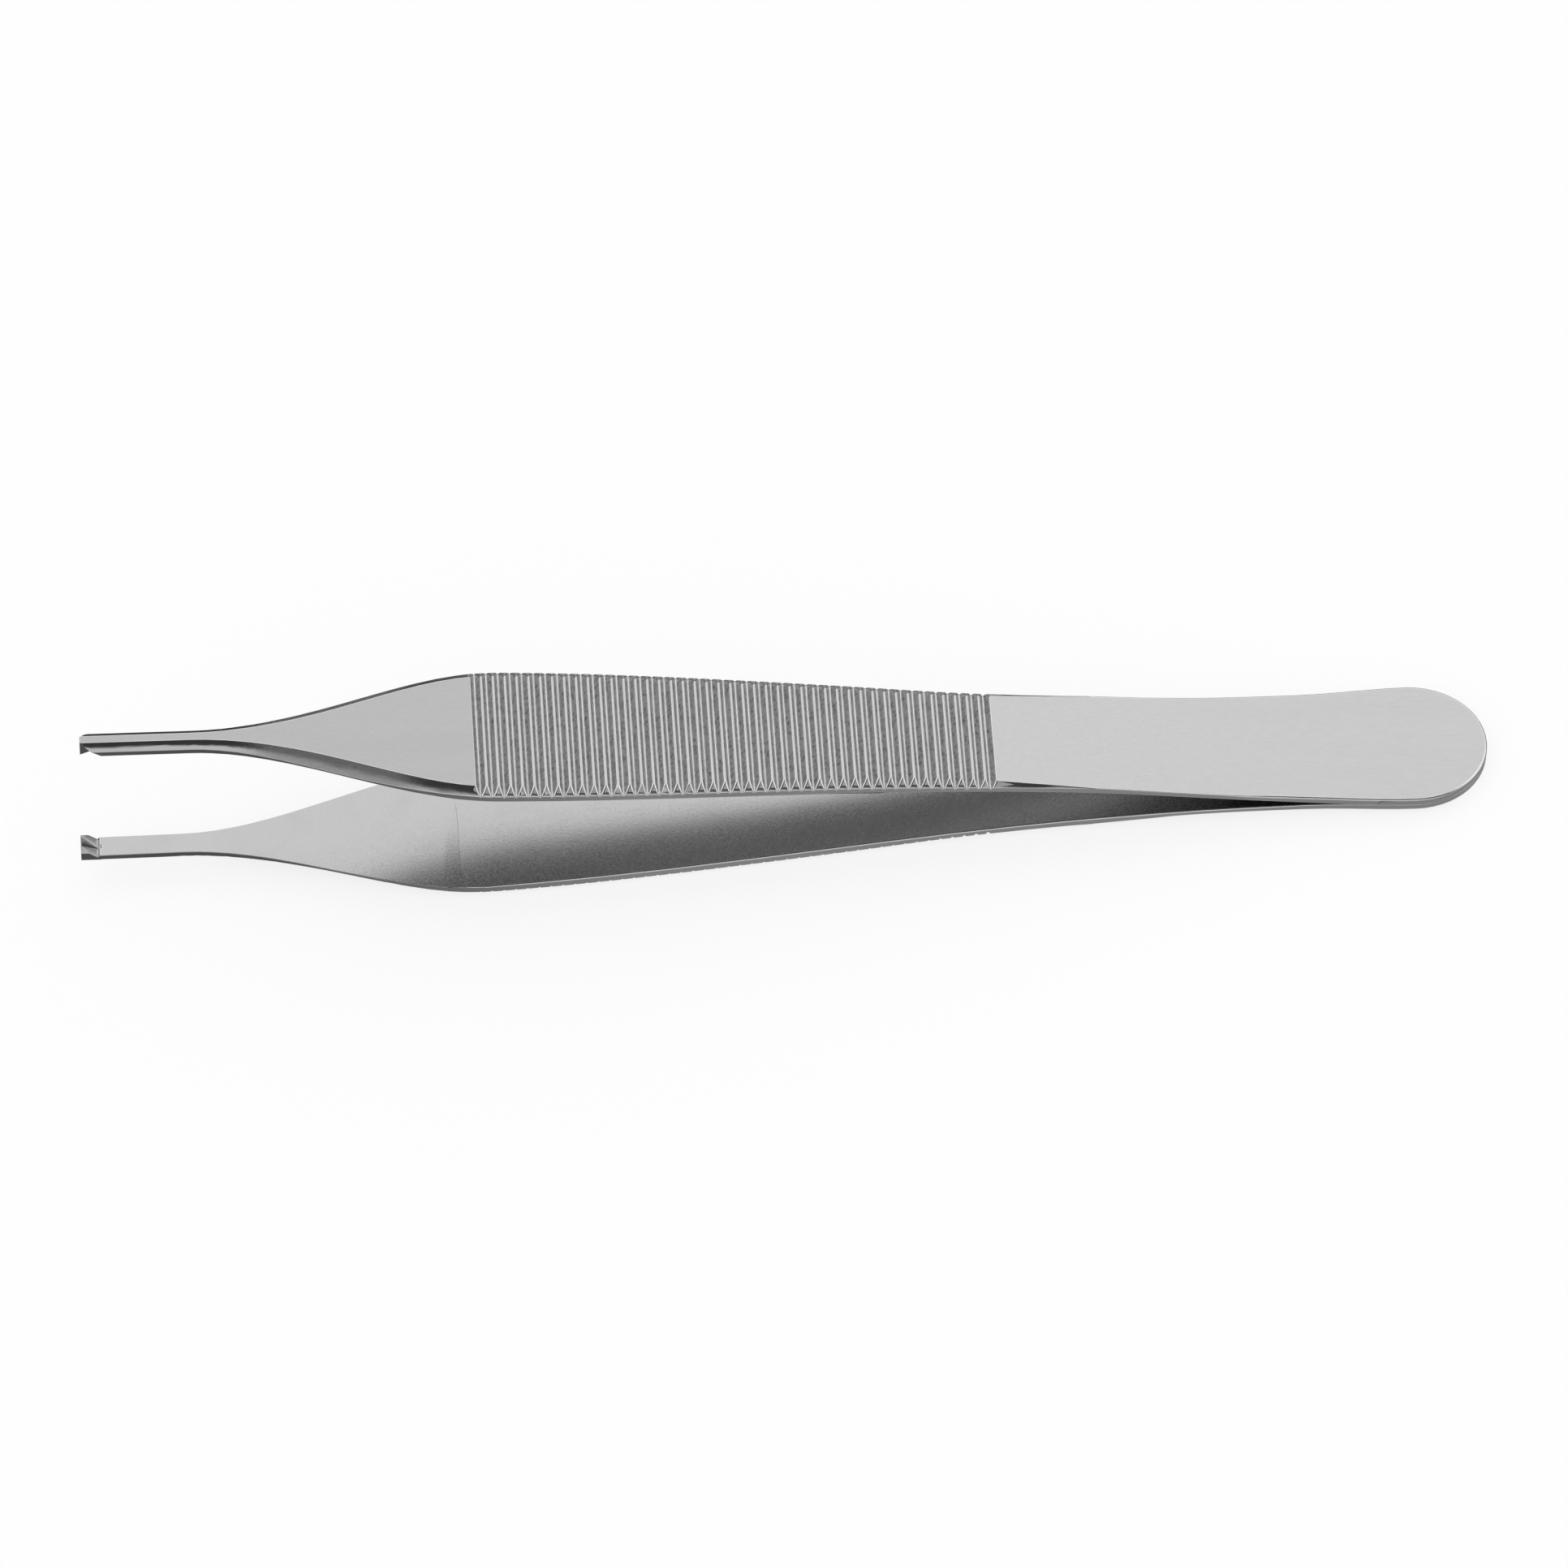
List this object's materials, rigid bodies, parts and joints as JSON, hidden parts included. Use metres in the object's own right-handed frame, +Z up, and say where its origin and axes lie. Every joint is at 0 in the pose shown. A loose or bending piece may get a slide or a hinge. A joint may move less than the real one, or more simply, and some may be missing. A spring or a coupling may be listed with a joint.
{
  "type": "toothed thumb forceps",
  "caption": "Spring-action surgical thumb forceps with narrow toothed tips, flared cross-serrated grips and two flat steel arms welded together at a rounded heel.",
  "frame": {"origin": "middle of the bounding box, at the level of the surface on which the forceps lie", "axes": "+X from the toothed tips to the welded heel, +Y across the width of the arms, +Z up, the way the arms open"},
  "size_m": [0.1206, 0.013, 0.0192],
  "materials": {
    "satin_stainless_steel": "satin, brushed along the arms, with polished edges"
  },
  "bodies": {
    "root": {"upper_arm": "satin_stainless_steel", "lower_arm": "satin_stainless_steel"}
  },
  "joints": []
}
